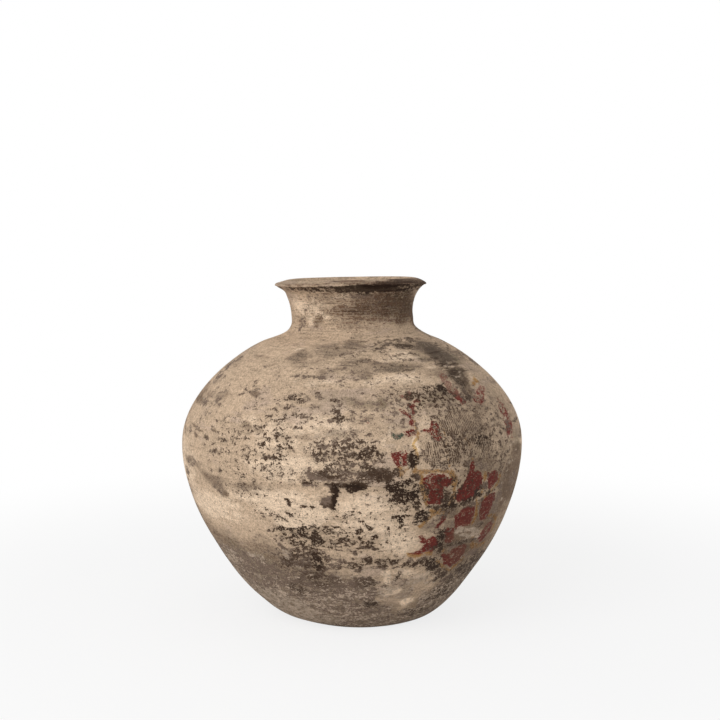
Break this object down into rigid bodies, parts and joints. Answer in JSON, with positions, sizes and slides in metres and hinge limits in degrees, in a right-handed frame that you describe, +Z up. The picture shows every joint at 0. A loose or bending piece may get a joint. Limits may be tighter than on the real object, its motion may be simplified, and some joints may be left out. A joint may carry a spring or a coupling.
{
  "type": "ceramic jar",
  "caption": "Globular earthenware jar with a flat foot, full rounded belly, short waisted neck and everted lip, for storage or display.",
  "frame": {"origin": "on the ground plane, under the centre of the belly", "axes": "+Z up through the mouth; -Y faces the viewer, where the painted panels lie towards +X"},
  "size_m": [0.2799, 0.28, 0.2745],
  "materials": {
    "smoked_clay": "matt, fire-clouded grey brown",
    "worn_slip": "matt buff slip, flaked and rubbed",
    "bare_clay": "matt unslipped clay"
  },
  "bodies": {
    "root": {"foot_slab": "smoked_clay", "foot_joint_coil": "bare_clay", "lower_bowl": "worn_slip", "belly_joint_coil": "bare_clay", "shoulder_dome": "worn_slip", "neck_joint_coil": "bare_clay", "neck_collar": "worn_slip", "lip": "worn_slip"}
  },
  "joints": []
}
